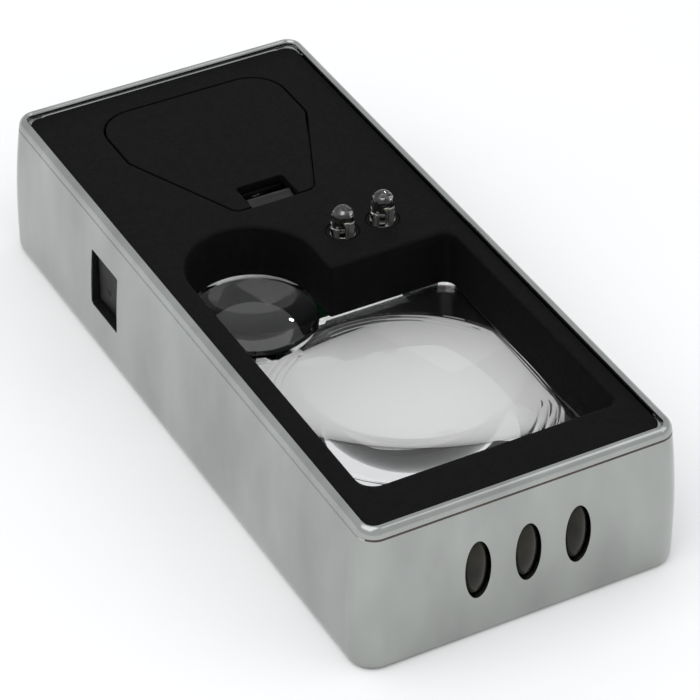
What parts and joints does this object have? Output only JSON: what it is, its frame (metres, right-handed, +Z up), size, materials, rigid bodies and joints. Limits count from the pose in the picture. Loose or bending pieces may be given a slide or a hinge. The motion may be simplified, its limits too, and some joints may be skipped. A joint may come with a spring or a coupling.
{
  "type": "counterfeit bill detector",
  "caption": "Pocket banknote checker with a magnifier window, a strong loupe, deck and front LEDs, a side rocker switch and a hinged battery door in a chromed case.",
  "frame": {"origin": "middle of the base, on the surface it rests on", "axes": "+Z up, +Y along the case towards the battery door's end, -Y the end with the three oval LEDs, -X the side with the rocker switch"},
  "size_m": [0.0454, 0.1024, 0.025],
  "materials": {
    "chrome_case": "vacuum chrome plating with a slightly wavy polish",
    "black_textured": "finely textured matt black ABS",
    "black_plain": "satin black ABS",
    "clear_acrylic": "polished clear acrylic",
    "led_epoxy": "clear LED epoxy",
    "steel": "zinc plated",
    "nickel": "nickel plated",
    "tinned_leads": "tinned wire",
    "board_green": "green solder mask",
    "resistor_body": "lacquered",
    "wire_red": "PVC insulation",
    "wire_black": "PVC insulation"
  },
  "bodies": {
    "case": {"battery_cell_1": "nickel", "battery_cell_2": "nickel", "battery_cell_3": "nickel", "battery_tray": "black_plain", "board_screw_1": "steel", "board_screw_2": "steel", "bottom_cover": "black_plain", "chrome_shell": "chrome_case", "circuit_board": "board_green", "contact_door_bridge": "nickel", "contact_floor_bridge": "nickel", "contact_negative": "nickel", "contact_positive": "nickel", "cover_screw_1": "steel", "cover_screw_2": "steel", "cover_screw_3": "steel", "cover_screw_4": "steel", "deck_led_1": "led_epoxy", "deck_led_1_anode": "tinned_leads", "deck_led_1_cathode": "tinned_leads", "deck_led_2": "led_epoxy", "deck_led_2_anode": "tinned_leads", "deck_led_2_cathode": "tinned_leads", "deck_plate": "black_textured", "front_led_1": "led_epoxy", "front_led_1_anode": "tinned_leads", "front_led_1_cathode": "tinned_leads", "front_led_2": "led_epoxy", "front_led_2_anode": "tinned_leads", "front_led_2_cathode": "tinned_leads", "front_led_3": "led_epoxy", "front_led_3_anode": "tinned_leads", "front_led_3_cathode": "tinned_leads", "front_led_board": "board_green", "lens_retainer": "black_plain", "loupe_lens": "clear_acrylic", "main_lens": "clear_acrylic", "resistor_1": "resistor_body", "resistor_2": "resistor_body", "resistor_3": "resistor_body", "switch_body": "black_plain", "switch_pivot_pin": "steel", "switch_terminal_1": "nickel", "switch_terminal_2": "nickel", "switch_terminal_3": "nickel", "wire_battery_negative": "wire_black", "wire_battery_positive": "wire_red", "wire_front_negative": "wire_black", "wire_front_positive": "wire_red"},
    "door": {"battery_door": "black_textured"},
    "latch": {"door_latch": "black_textured"},
    "rocker": {"switch_rocker": "black_textured"}
  },
  "joints": [
    {"name": "battery_door_hinge", "type": "hinge", "parent": "case", "child": "door", "pos_m": [0.00095, 0.04455, 0.0206], "axis": [-1, 0, 0], "range_deg": [0, 100]},
    {"name": "door_latch_slide", "type": "slide", "parent": "door", "child": "latch", "axis": [0, 1, 0], "range_m": [0, 0.0019], "stiffness_N_per_m": 300},
    {"name": "switch_rocker_hinge", "type": "hinge", "parent": "case", "child": "rocker", "pos_m": [-0.0197, 0.0203, 0.011], "axis": [0, 0, 1], "range_deg": [-7, 7]}
  ]
}
